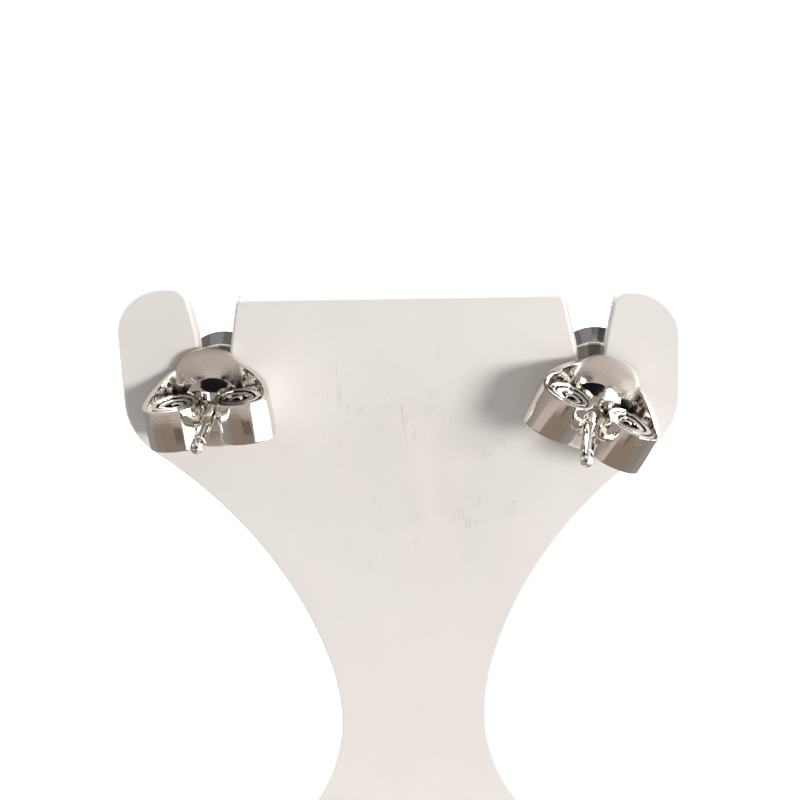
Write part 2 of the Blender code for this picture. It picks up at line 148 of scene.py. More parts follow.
# Finish of the plate: middle of the zone that hands have scuffed, how far from it the scuffs begin
# and are full, and the heights between which the plastic is painted darker, as painted shade
# towards the foot
HANDLED_ACROSS = -0.0015
HANDLED_UP = -0.004
HANDLED_HALF_WIDTH = (0.0085, 0.0025)
HANDLED_HALF_HEIGHT = (0.0095, 0.003)
PAINTED_SHADE_FROM = -0.008
PAINTED_SHADE_BELOW = -0.024

# Heights over a back's underside between which the satin of its disc ends
SATIN_BELOW = 0.00036
POLISHED_ABOVE = 0.00048

# Camera: turned from the plate's own normal, up and sideways, then rolled
VIEW_LIFT = radians(25.0)
VIEW_ASIDE = radians(4.2393)
VIEW_ROLL = radians(2.5338)
VIEW_DISTANCE = 0.150
VIEW_LENS = 112.5
VIEW_SENSOR = 36.0

# Window-like key light, and soft lights that graze the sheet from its sides and from above:
# azimuth and elevation as for the cards below, and for those their power in watts
LIGHT_DISTANCE = 0.45
KEY_DIRECTION = (43, -1)
KEY_SIZE = 0.16
EDGE_LIGHT_SIZE = 0.20
EDGE_LIGHTS = (
    ("top_edge_light", 180, 78, 2.3),
    ("left_edge_light", -98, 6, 2.0),
    ("right_edge_light", 98, 6, 1.1),
)

# Cards that only the polished metal and the stones see: azimuth from the camera's side towards the
# picture's right, elevation, half width and half height, all in degrees, brightness, whether round
CARD_DISTANCE = 0.9
CARDS = (
    ("lens_card", -5, 12, 29, 16, (0.009, 0.008, 0.014), True),
    ("window_card", 92, 8, 44, 50, (2.6, 2.6, 2.55), False),
    ("low_window_card", 45, -8, 21, 18, (2.3, 2.3, 2.25), True),
    ("left_card", -92, 34, 20, 14, (1.2, 1.19, 1.17), False),
    ("top_card", 0, 82, 17, 15, (1.2, 1.19, 1.17), False),
    ("low_right_card", 44, -33, 18, 12, (2.2, 2.2, 2.15), False),
    ("table_mark_card", 3, -35, 7, 3.0, (0.16, 0.13, 0.105), False),
    ("shoulder_card", 38, 44, 17, 13, (0.85, 0.84, 0.82), True),
    ("back_left_card", -160, 35, 7, 26, (0.27, 0.265, 0.26), False),
    ("back_right_card", 163, 30, 5, 30, (0.08, 0.07, 0.07), False),
)


# ---------------------------------------------------------------------------------------------
# Shader nodes
# ---------------------------------------------------------------------------------------------

class Value:
    """A number that varies over a surface; sums and products of it add Math nodes."""

    def __init__(self, finish, socket):
        self.finish = finish
        self.socket = socket

    def maths(self, operation, *values):
        node = self.finish.node("ShaderNodeMath", {"operation": operation}, dict(enumerate(values)))
        return Value(self.finish, node.outputs[0])

    def __add__(self, other):
        return self.maths("ADD", self, other)

    __radd__ = __add__

    def __sub__(self, other):
        return self.maths("SUBTRACT", self, other)

    def __mul__(self, other):
        return self.maths("MULTIPLY", self, other)

    def __abs__(self):
        return self.maths("ABSOLUTE", self)

    def ramp(self, low, high, to_low=0.0, to_high=1.0):
        """Rises smoothly from to_low to to_high as the number goes from low to high."""
        node = self.finish.node("ShaderNodeMapRange", {"interpolation_type": "SMOOTHSTEP"},
                                {"Value": self, "From Min": low, "From Max": high,
                                 "To Min": to_low, "To Max": to_high})
        return Value(self.finish, node.outputs["Result"])


class Finish:
    """A material and the one way that its nodes are made."""

    def __init__(self, name):
        self.material = bpy.data.materials.new(name)
        self.material.use_nodes = True
        self.tree = self.material.node_tree
        self.tree.nodes.clear()
        self.output = self.node("ShaderNodeOutputMaterial")
        self.place = self.node("ShaderNodeTexCoord").outputs["Object"]

    def node(self, kind, settings=None, inputs=None):
        made = self.tree.nodes.new(kind)
        for name, value in (settings or {}).items():
            setattr(made, name, value)
        for name, value in (inputs or {}).items():
            if isinstance(value, Value):
                value = value.socket
            if isinstance(value, bpy.types.NodeSocket):
                self.tree.links.new(value, made.inputs[name])
            else:
                made.inputs[name].default_value = value
        return made

    def turned(self, matrix, stretch=(1.0, 1.0, 1.0)):
        """Object coordinates in a piece's own frame, stretched along its axes."""
        own = matrix.inverted()
        mapping = self.node("ShaderNodeMapping", {"vector_type": "POINT"},
                            {"Vector": self.place, "Location": own.to_translation(),
                             "Rotation": own.to_euler()})
        return self.node("ShaderNodeVectorMath", {"operation": "MULTIPLY"},
                         {0: mapping.outputs[0], 1: stretch}).outputs[0]

    def part_of(self, vector, axis):
        """One coordinate of a vector."""
        return Value(self, self.node("ShaderNodeSeparateXYZ", None, {0: vector}).outputs[axis])

    def noise(self, vector, scale, detail=2.0, distortion=0.0):
        made = self.node("ShaderNodeTexNoise", {"noise_dimensions": "3D"},
                         {"Vector": vector, "Scale": scale, "Detail": detail,
                          "Roughness": 0.5, "Distortion": distortion})
        return Value(self, made.outputs["Fac"])

    def specks(self, vector, scale, size):
        """1 in small round specks, one in each cell of the pattern, 0 elsewhere."""
        made = self.node("ShaderNodeTexVoronoi", {"feature": "F1", "voronoi_dimensions": "3D"},
                         {"Vector": vector, "Scale": scale, "Randomness": 1.0})
        return Value(self, made.outputs["Distance"]).ramp(size, size * 0.4)

    def blend(self, share, first, second):
        """A colour between two colours."""
        made = self.node("ShaderNodeMix", {"data_type": "RGBA"},
                         {"Factor": share, "A": first, "B": second})
        return made.outputs["Result"]

    def bump(self, height, distance, strength=1.0, under=None):
        inputs = {"Height": height, "Distance": distance, "Strength": strength}
        if under is not None:
            inputs["Normal"] = under
        return self.node("ShaderNodeBump", None, inputs).outputs["Normal"]

    def surface(self, **inputs):
        names = {name.replace(" ", "_").lower(): name for name in (
            "Base Color", "Roughness", "Metallic", "IOR", "Transmission Weight", "Normal",
            "Emission Color", "Emission Strength")}
        made = self.node("ShaderNodeBsdfPrincipled", None,
                         {names[name]: value for name, value in inputs.items()})
        self.tree.links.new(made.outputs[0], self.output.inputs["Surface"])
        return self.material

    def glow(self, colour):
        """Gives off a colour without lighting anything."""
        made = self.node("ShaderNodeEmission", None, {"Color": colour, "Strength": 1.0})
        self.tree.links.new(made.outputs[0], self.output.inputs["Surface"])
        self.material.cycles.emission_sampling = "NONE"
        return self.material


def rgba(colour):
    return (*colour[:3], 1.0)


def scaled(colour, share):
    return tuple(channel * share for channel in colour[:3]) + (1.0,)


# ---------------------------------------------------------------------------------------------
# Shapes that several pieces use
# ---------------------------------------------------------------------------------------------

def verts_of(geometry):
    return [item for item in geometry if isinstance(item, bmesh.types.BMVert)]


def edges_of(geometry):
    return [item for item in geometry if isinstance(item, bmesh.types.BMEdge)]


def add_piece(name, bm, place, material, body, slot, *replaced, sharp=None):
    """A finished piece: its object is at the origin and its place is in its mesh."""
    bmesh.ops.transform(bm, matrix=place, verts=bm.verts)
    mesh = bpy.data.meshes.new(name)
    bm.to_mesh(mesh)
    bm.free()
    mesh.materials.append(material)
    mesh.shade_smooth()
    if sharp is not None:
        mesh.set_sharp_from_angle(angle=radians(sharp))
    piece = bpy.data.objects.new(name, mesh)
    bpy.context.scene.collection.objects.link(piece)
    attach(piece, body)
    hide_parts(*replaced)
    return piece


def arc(centre, radius, start, end, steps):
    """Points of an arc, angles in radians from the first axis, both ends included."""
    turn = (end - start) / steps
    return [(centre[0] + radius * cos(start + turn * i), centre[1] + radius * sin(start + turn * i))
            for i in range(steps + 1)]


def rounded(corners, steps=6):
    """A path through corners (across, height, radius), rounded less where two rounds would meet."""
    spots = [Vector(corner[:2]) for corner in corners]
    reaches = [0.0]
    for i in range(1, len(corners) - 1):
        half = (spots[i - 1] - spots[i]).angle(spots[i + 1] - spots[i]) / 2
        reaches.append(corners[i][2] / tan(half))
    reaches.append(0.0)
    points = [corners[0][:2]]
    for i in range(1, len(corners) - 1):
        back, ahead = spots[i - 1] - spots[i], spots[i + 1] - spots[i]
        half = back.angle(ahead) / 2
        room = min(back.length / (reaches[i - 1] + reaches[i]),
                   ahead.length / (reaches[i] + reaches[i + 1]))
        reach = reaches[i] * min(1.0, 0.98 * room)
        radius = reach * tan(half)
        inwards = (back.normalized() + ahead.normalized()).normalized()
        centre = spots[i] + inwards * (radius / sin(half))
        first = spots[i] + back.normalized() * reach - centre
        sweep = first.angle_signed(spots[i] + ahead.normalized() * reach - centre)
        begin = atan2(first.y, first.x)
        points += arc(centre, radius, begin, begin - sweep, steps)
    return points + [corners[-1][:2]]


# ---------------------------------------------------------------------------------------------
# Places, as the part's source works them out
# ---------------------------------------------------------------------------------------------

def bend_length():
    return (BEND_INNER_RADIUS + SHEET / 2) * (pi / 2 + LEAN)


def bend_start():
    """Height on the plate where the bend to the foot begins, just under the skirt's shoulder."""
    drop = sqrt((SKIRT_RADIUS + FOOT_SHOULDER_RADIUS) ** 2
                - (NECK_HALF_WIDTH + SKIRT_RADIUS - FOOT_HALF_WIDTH + FOOT_SHOULDER_RADIUS) ** 2)
    return -NECK_DROP - drop - SHEET / 3


def plate_frame():
    """Places the plate: its own frame has +Z up the plate and its back face at Y = 0."""
    lean = Matrix.Rotation(-LEAN, 4, "X")
    bend_middle = lean @ Vector((0, BEND_INNER_RADIUS, bend_start()))
    wanted = Vector((0, -FOOT_LENGTH / 2, BEND_INNER_RADIUS + SHEET))
    return Matrix.Translation(wanted - bend_middle) @ lean


def post_crossing(stud, depth):
    """Where the post's axis crosses a plane behind the plate's back face: across and height."""
    return stud["across"] - depth * tan(stud["inward"]), stud["height"] - depth * tan(stud["droop"])


def tilted(stud, share):
    """Turns +Z from square on the plate's front towards the post, by a share of the post's tilt."""
    return (Matrix.Rotation(pi / 2 - share * stud["droop"], 4, "X")
            @ Matrix.Rotation(stud["side"] * share * stud["inward"], 4, "Y"))


def lean_allowance(stud, radius, share=1.0):
    """How much nearer to the plate the rim of a tilted disc comes."""
    return radius * sin(share * hypot(stud["inward"], stud["droop"]))


def stud_place(stud):
    """The post's own frame: +Z runs along the post to the stone's table."""
    place = Vector((stud["side"] * stud["across"], 0, stud["height"]))
    return plate_frame() @ Matrix.Translation(place) @ tilted(stud, 1.0)


def back_place(stud):
    """The back's own frame: +Z points away from the stand, wings along X."""
    depth = STAND_GAP + lean_allowance(stud, BACK_DISC_RADIUS + BACK_DISC_RISE, stud["square"])
    across, height = post_crossing(stud, depth)
    place = Vector((stud["side"] * across, depth, height))
    turn = Matrix.Rotation(pi + stud["turn"], 4, "Z") @ Matrix.Rotation(pi, 4, "X")
    return plate_frame() @ Matrix.Translation(place) @ tilted(stud, stud["square"]) @ turn


# ---------------------------------------------------------------------------------------------
# Stand
# ---------------------------------------------------------------------------------------------

def flank():
    """The side of the plate, from the ear's widest point down to the skirt's shoulder."""
    neck = (NECK_HALF_WIDTH + NECK_RADIUS, -NECK_DROP)
    flank_centre = (neck[0] + (FLANK_RADIUS - NECK_RADIUS) * cos(NECK_SWEEP),
                    neck[1] - (FLANK_RADIUS - NECK_RADIUS) * sin(NECK_SWEEP))
    ear = PLATE_HALF_WIDTH - EAR_LOWER_RADIUS
    apart = flank_centre[0] - ear
    ear_height = flank_centre[1] + sqrt((FLANK_RADIUS + EAR_LOWER_RADIUS) ** 2 - apart ** 2)
    meet = atan2(ear_height - flank_centre[1], apart)
    skirt = (NECK_HALF_WIDTH + SKIRT_RADIUS, -NECK_DROP)
    foot_turn = acos((skirt[0] - FOOT_HALF_WIDTH + FOOT_SHOULDER_RADIUS)
                     / (SKIRT_RADIUS + FOOT_SHOULDER_RADIUS))
    shoulder = (FOOT_HALF_WIDTH - FOOT_SHOULDER_RADIUS, bend_start() + SHEET / 3)
    return (arc((ear, ear_height), EAR_LOWER_RADIUS, 0, -meet, 28)
            + arc(flank_centre, FLANK_RADIUS, pi - meet, pi - NECK_SWEEP, 40)[1:]
            + arc(neck, NECK_RADIUS, pi - NECK_SWEEP, pi, 18)[1:]
            + arc(skirt, SKIRT_RADIUS, pi, pi + foot_turn, 40)[1:]
            + arc(shoulder, FOOT_SHOULDER_RADIUS, foot_turn, 0, 18)[1:])


def half_outline(stud):
    """Half of the flat sheet's outline, from the middle of its top edge to the end of the foot."""
    across, height = post_crossing(stud, -SHEET / 2)
    top = stud["ear_top"]
    slot = POST_RADIUS + SLOT_CLEARANCE
    floor = height - slot
    mouth = across - SLOT_MOUTH_TO_CENTRE
    slot_and_ear = rounded([
        (0, CENTRE_TOP, 0),
        (mouth, CENTRE_TOP, CENTRE_CORNER_RADIUS),
        (across - stud["slot_waist"], height + SLOT_WAIST_HEIGHT, SLOT_BEND_RADIUS),
        (across - slot, floor, slot),
        (across + slot, floor, slot),
        (across + stud["slot_side"], height + stud["slot_flare"], SLOT_BEND_RADIUS),
        (across + SLOT_MOUTH_TO_EAR, top, EAR_INNER_RADIUS),
        (PLATE_HALF_WIDTH, top, EAR_OUTER_RADIUS),
        (PLATE_HALF_WIDTH, flank()[0][1] + EAR_LOWER_RADIUS / 10, 0),
    ], steps=20)
    foot_end = bend_start() - bend_length() - FOOT_LENGTH
    foot = rounded([
        (FOOT_HALF_WIDTH, bend_start(), 0),
        (FOOT_HALF_WIDTH, foot_end, FOOT_CORNER_RADIUS),
        (0, foot_end, 0),
    ], steps=20)
    return slot_and_ear + flank() + foot


def bent(point):
    """A point of the flat sheet, moved to its place round the bend or on the foot."""
    past = bend_start() - point.z
    if past <= 0:
        return point
    whole = pi / 2 + LEAN
    turn = min(past / bend_length(), 1.0) * whole
    radius = BEND_INNER_RADIUS - point.y
    beyond = max(past - bend_length(), 0.0)
    return Vector((point.x,
                   BEND_INNER_RADIUS - radius * cos(turn) + beyond * sin(turn),
                   bend_start() - radius * sin(turn) - beyond * cos(turn)))


def stand_mesh(edge_round):
    right_half = half_outline(STUDS["left"])
    left_half = [(-x, z) for x, z in half_outline(STUDS["right"])]
    outline = right_half[:-1] + left_half[:0:-1]
    bm = bmesh.new()
    sheet = bm.faces.new([bm.verts.new((x, 0, z)) for x, z in outline])
    front = bmesh.ops.extrude_face_region(bm, geom=[sheet])["geom"]
    bmesh.ops.translate(bm, vec=(0, -SHEET, 0), verts=verts_of(front))
    bmesh.ops.recalc_face_normals(bm, faces=bm.faces)
    rims = [edge for edge in bm.edges if abs(edge.verts[0].co.y - edge.verts[1].co.y) < SHEET / 10]
    bmesh.ops.bevel(bm, geom=rims, offset=edge_round, segments=5, profile=0.5,
                    affect="EDGES", clamp_overlap=False, material=-1)
    for step in range(BEND_STEPS + 1):
        cut = bend_start() - bend_length() * step / BEND_STEPS
        bmesh.ops.bisect_plane(bm, geom=bm.verts[:] + bm.edges[:] + bm.faces[:],
                               dist=1e-7, plane_co=(0, 0, cut), plane_no=(0, 0, 1))
    for vert in bm.verts:
        vert.co = bent(vert.co)
    return bm


def plastic_finish(look):
    """White sheet plastic: satin, uneven in tone, scuffed in the middle, with dust specks, and
    painted shade that darkens it towards the foot.
    """
    finish = Finish("white_satin_plastic")
    own = plate_frame()
    flat = finish.turned(own)
    across, height = finish.part_of(flat, "X"), finish.part_of(flat, "Z")
    handled = (abs(across - HANDLED_ACROSS).ramp(*HANDLED_HALF_WIDTH)
               * abs(height - HANDLED_UP).ramp(*HANDLED_HALF_HEIGHT))
    tone = finish.noise(flat, 130.0, detail=3.0).ramp(0.35, 0.70)
    blush = finish.noise(finish.turned(own, (1.0, 1.0, 0.6)), 260.0, detail=2.0).ramp(0.52, 0.75)
    patch = finish.noise(flat, 420.0, detail=2.0, distortion=0.8).ramp(0.46, 0.66)
    hair = finish.noise(finish.turned(own, (1.0, 0.5, 0.22)), 5200.0, detail=1.0).ramp(0.60, 0.72)
    stroke = finish.noise(finish.turned(own, (1.0, 0.5, 0.30)), 2300.0, detail=2.0, distortion=0.3)
    stroke = stroke.ramp(0.57, 0.70)
    worn = patch * (handled * 1.3 + 0.15)
    marks = (hair * 0.5 + stroke * 0.5) * worn
    specks = finish.specks(flat, 230.0, 0.035) + finish.specks(flat, 560.0, 0.05) * worn
    # Painted shade: the colour darkens towards the foot, where less light falls; tone and scuffs
    # are the plastic's own
    low = height.ramp(PAINTED_SHADE_FROM, PAINTED_SHADE_BELOW)
    dull_and_shade = tone * 0.45 + low * 0.45 + handled * 0.45
    colour = finish.blend(dull_and_shade, rgba(look.colour), rgba(look.shade))
    colour = finish.blend(blush * (handled * 0.5 + 0.3), colour, rgba(look.blush))
    colour = finish.blend(marks * 0.65, colour, scaled(look.shade, 0.80))
    colour = finish.blend(specks * 0.6, colour, scaled(look.shade, 0.35))
    grain = finish.noise(flat, 2400.0, detail=2.0)
    normal = finish.bump(grain * 0.25 - marks * 0.8, look.scratch_depth)
    rough = look.roughness + tone * 0.05 + marks * 0.15
    return finish.surface(base_color=colour, roughness=rough, normal=normal, ior=1.49)


class StandLook(bpy.types.PropertyGroup):
    """What a user may change on the stand."""

    edge_round: FloatProperty(
        name="Edge radius", description="How far the sheet's edges are rounded",
        default=0.0002, min=0.0001, max=0.0007, unit="LENGTH", precision=5)
    colour: FloatVectorProperty(
        name="Plastic", description="Colour of the white plastic",
        default=(0.835, 0.790, 0.755), subtype="COLOR", min=0.0, max=1.0)
    # Also the colour of the painted shade towards the foot
    shade: FloatVectorProperty(
        name="Dull tone", description="Colour where the plastic is dull or scuffed",
        default=(0.765, 0.720, 0.685), subtype="COLOR", min=0.0, max=1.0)
    blush: FloatVectorProperty(
        name="Warm tone", description="Colour of the faint warm patches",
        default=(0.850, 0.775, 0.735), subtype="COLOR", min=0.0, max=1.0)
    roughness: FloatProperty(
        name="Roughness", description="Roughness of the plastic between its scratches",
        default=0.34, min=0.0, max=1.0)
    scratch_depth: FloatProperty(
        name="Scratch depth", description="Depth of the fine scratches",
        default=0.000006, min=0.0, max=0.0001, unit="LENGTH", precision=6)


class EARRINGS_OT_stand(bpy.types.Operator):
    """Build the bent plastic stand with its slots and rounded edges"""

    bl_idname = "earrings.stand"
    bl_label = "Display stand"

    def execute(self, context):
        look = context.scene.earring_stand
        piece = add_piece("stand", stand_mesh(look.edge_round), plate_frame(), plastic_finish(look),
                          "root", "white_plastic", "display_stand", sharp=60.0)
        even = piece.modifiers.new("even_faces", "WEIGHTED_NORMAL")
        even.keep_sharp = True
        even.weight = 100
        return {"FINISHED"}


# ---------------------------------------------------------------------------------------------
# Settings
# ---------------------------------------------------------------------------------------------

def girdle_height(stud):
    """Height of the girdle's lower edge over the stand's back face."""
    back = SHEET + STAND_GAP + lean_allowance(stud, CUP_BASE_RADIUS)
    return (back + CUP_FLOOR + STONE_CLEARANCE / cos(PAVILION_ANGLE)
            + STONE_RADIUS * tan(PAVILION_ANGLE))


def cup_profile(stud, soften):
    """Half section of cup and post, from the post's tip round the outside to the inner floor."""
    back = SHEET + STAND_GAP + lean_allowance(stud, CUP_BASE_RADIUS)
    girdle = girdle_height(stud)
    rim = girdle + STONE_GIRDLE + CUP_LIP_HEIGHT
    bore = STONE_RADIUS + STONE_CLEARANCE
    outer = bore + CUP_WALL
    groove = -POST_REACH + POST_GROOVE_FROM_TIP
    neck = POST_RADIUS - POST_GROOVE_DEPTH
    tip = [(r, z - POST_REACH + POST_RADIUS) for r, z in arc((0, 0), POST_RADIUS, -pi / 2, 0, 14)]
    seat_slip = STONE_CLEARANCE / cos(PAVILION_ANGLE)
    floor_radius = POST_RADIUS * 0.6
    seat_floor = (girdle - STONE_RADIUS * tan(PAVILION_ANGLE) - seat_slip
                  + floor_radius * tan(PAVILION_ANGLE))
    lip = STONE_RADIUS - CUP_LIP_OVERLAP
    groove_soft = POST_GROOVE_LENGTH / 2
    corners = [
        (*tip[-1], 0),
        (POST_RADIUS, groove, groove_soft),
        (neck, groove + POST_GROOVE_LENGTH / 3, groove_soft),
        (neck, groove + POST_GROOVE_LENGTH * 2 / 3, groove_soft),
        (POST_RADIUS, groove + POST_GROOVE_LENGTH, groove_soft),
        (POST_RADIUS, back - SOLDER_FILLET, SOLDER_FILLET / 2),
        (POST_RADIUS + SOLDER_FILLET * 0.3, back - SOLDER_FILLET * 0.3, SOLDER_FILLET),
        (POST_RADIUS + SOLDER_FILLET, back, SOLDER_FILLET / 2),
        (CUP_BASE_RADIUS, back, soften * 2),
        (outer - CUP_TAPER - CUP_WALL / 4, rim - CUP_SIDE_HEIGHT - CUP_WALL / 4, soften * 2),
        (outer - CUP_TAPER, rim - CUP_SIDE_HEIGHT, soften * 2),
        (outer, rim - CUP_WALL / 3, soften),
        (outer - CUP_WALL / 6, rim, soften * 2),
        (bore - CUP_WALL / 4, rim + CUP_WALL / 6, soften * 2),
        (lip, rim - CUP_WALL / 8, soften / 2),
        (bore, girdle + STONE_GIRDLE + STONE_CLEARANCE / 2, soften / 2),
        (bore, girdle - STONE_CLEARANCE / 2, soften / 2),
        (floor_radius, seat_floor, soften / 2),
        (0, seat_floor, 0),
    ]
    return tip[:-1] + rounded(corners, steps=5)


def turned_mesh(profile, sides):
    """A closed body turned round Z from a half section whose two ends are on the axis."""
    bm = bmesh.new()
    verts = [bm.verts.new((r, 0, z)) for r, z in profile]
    edges = [bm.edges.new(pair) for pair in zip(verts, verts[1:])]
    bmesh.ops.spin(bm, geom=verts + edges, cent=(0, 0, 0), axis=(0, 0, 1), angle=2 * pi,
                   steps=sides, use_merge=True)
    bmesh.ops.remove_doubles(bm, verts=bm.verts, dist=1e-7)
    bmesh.ops.recalc_face_normals(bm, faces=bm.faces)
    return bm


def metal_finish(name, look, own, waviness, satin=0.0, painted_shade_span=None):
    """Polished white gold with hair scratches, faint dulling and the soft waves of hand polishing.

    With satin the pressed disc, low in the piece's own frame, is duller than what rises from it.
    Between the two heights given last, the metal's colour is painted darker: painted shade in the
    recess between the cup and the stand.
    """
    finish = Finish(name)
    local = finish.turned(own)
    dull = finish.noise(local, 900.0, detail=3.0).ramp(0.45, 0.75)
    hair = finish.noise(finish.turned(own, (1.0, 1.0, 0.12)), 9000.0, detail=1.0).ramp(0.60, 0.72)
    cross = finish.noise(finish.turned(own, (0.15, 1.0, 1.0)), 8000.0, detail=1.0).ramp(0.62, 0.74)
    waves = finish.noise(local, 520.0, detail=1.0)
    colour = finish.blend(dull * 0.5, rgba(look.colour), rgba(look.dull_colour))
    rough = look.roughness + dull * 0.05 + (hair + cross) * 0.04
    height = finish.part_of(local, "Z")
    if satin:
        rough = rough + height.ramp(POLISHED_ABOVE, SATIN_BELOW) * satin
    if painted_shade_span:
        # Painted shade: the cone under the cup, in the recess against the stand, is darkened in
        # colour and made rougher
        bottom, top = painted_shade_span
        painted_shade_mask = height.ramp(bottom - 0.0002, bottom) * height.ramp(top + 0.00003, top - 0.00005)
        colour = finish.blend(painted_shade_mask * (dull * 0.1 + 0.88), colour, scaled(look.dull_colour, 0.14))
        rough = rough + painted_shade_mask * 0.12
    normal = finish.bump(waves, waviness)
    normal = finish.bump((hair + cross) * -1.0, look.scratch_depth, under=normal)
    return finish.surface(base_color=colour, metallic=1.0, roughness=rough, normal=normal)


class MetalLook(bpy.types.PropertyGroup):
    """What a user may change on the white gold."""

    colour: FloatVectorProperty(
        name="White gold", description="Colour of the polished metal",
        default=(0.800, 0.775, 0.745), subtype="COLOR", min=0.0, max=1.0)
    dull_colour: FloatVectorProperty(
        name="Worn tone", description="Colour where handling has dulled the metal",
        default=(0.735, 0.690, 0.640), subtype="COLOR", min=0.0, max=1.0)
    roughness: FloatProperty(
        name="Roughness", description="Roughness of the polished metal",
        default=0.055, min=0.0, max=1.0)
    scratch_depth: FloatProperty(
        name="Scratch depth", description="Depth of the hair scratches",
        default=0.0000008, min=0.0, max=0.00001, unit="LENGTH", precision=7)
    edge_soft: FloatProperty(
        name="Edge radius", description="How far polishing has rounded the cup's edges",
        default=0.00005, min=0.0, max=0.0002, unit="LENGTH", precision=6)


class EARRINGS_OT_settings(bpy.types.Operator):
    """Build each stud's cup with its lip, solder joint and grooved post"""

    bl_idname = "earrings.settings"
    bl_label = "Cups and posts"

    def execute(self, context):
        look = context.scene.earring_metal
        for side, stud in STUDS.items():
            place = stud_place(stud)
            cup_foot = (girdle_height(stud) + STONE_GIRDLE + CUP_LIP_HEIGHT
                        - CUP_SIDE_HEIGHT - CUP_WALL / 4)
            # The cone from the stand's sheet up to the cup's foot gets painted shade
            finish = metal_finish(f"{side}_polished_white_gold", look, place, 0.000004,
                                  painted_shade_span=(SHEET, cup_foot))
            add_piece(f"{side}_cup_and_post",
                      turned_mesh(cup_profile(stud, look.edge_soft), CUP_SIDES), place, finish,
                      "root", "white_gold", f"{side}_setting", sharp=50.0)
        return {"FINISHED"}


# ---------------------------------------------------------------------------------------------
# Stones
# ---------------------------------------------------------------------------------------------

def diamond_finish(look, side, stud):
    """Cut diamond, clear on its facets and ground on its girdle."""
    finish = Finish(f"{side}_diamond")
    local = finish.turned(stud_place(stud))
    height = finish.part_of(local, "Z")
    middle = girdle_height(stud) + STONE_GIRDLE / 2
    band = abs(height - middle).ramp(STONE_GIRDLE * 0.55, STONE_GIRDLE * 0.45)
    ground = finish.noise(local, 9000.0, detail=1.0)
    return finish.surface(base_color=rgba(look.colour), roughness=band * (ground * 0.4 + 0.15),
                          ior=2.417, transmission_weight=1.0)


class StoneLook(bpy.types.PropertyGroup):
    """What a user may change on the stones."""

    colour: FloatVectorProperty(
        name="Body colour", description="Tint of the diamonds",
        default=(0.985, 0.990, 1.000), subtype="COLOR", min=0.0, max=1.0)


class EARRINGS_OT_stones(bpy.types.Operator):
    """Give the cut stones, whose facets come from the part itself, their diamond finish"""

    bl_idname = "earrings.stones"
    bl_label = "Diamonds"

    def execute(self, context):
        look = context.scene.earring_stone
        for side, stud in STUDS.items():
            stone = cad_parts[f"{side}_diamond"]
            stone.data.materials.clear()
            stone.data.materials.append(diamond_finish(look, side, stud))
        return {"FINISHED"}


# ---------------------------------------------------------------------------------------------
# Butterfly backs
# ---------------------------------------------------------------------------------------------

def wing_point(out, up):
    """A point of a wing's middle surface: its loop comes to the post's grip clearance."""
    grip = POST_RADIUS + BACK_GRIP_CLEARANCE + BACK_SHEET / 2
    return grip + out * BACK_LOOP_WIDTH, up * (BACK_DEPTH - BACK_SHEET)


def disc_height(radius, rim=BACK_DISC_RADIUS):
    """Height of the disc's middle surface over its rim: a dome that stands on a flat cone."""
    if radius >= BACK_DOME_RADIUS:
        return BACK_DISC_FALL * max(0.0, (rim - radius) / (rim - BACK_DOME_RADIUS))
    sphere = (BACK_DOME_RADIUS ** 2 + BACK_DOME_HEIGHT ** 2) / (2 * BACK_DOME_HEIGHT)
    return BACK_DISC_FALL + sqrt(sphere ** 2 - radius ** 2) - (sphere - BACK_DOME_HEIGHT)


def disc_rim(turn):
    """A point of the disc's rim: a circle a little off the hole's middle, cut at the creases."""
    rim = (BACK_DISC_RISE * sin(turn)
           + sqrt(BACK_DISC_RADIUS ** 2 - (BACK_DISC_RISE * cos(turn)) ** 2))
    radius = rim
    if abs(cos(turn)) * BACK_DISC_RADIUS > BACK_CREASE:
        radius = BACK_CREASE / abs(cos(turn))
    return Vector((radius * cos(turn), radius * sin(turn), disc_height(radius, rim)))


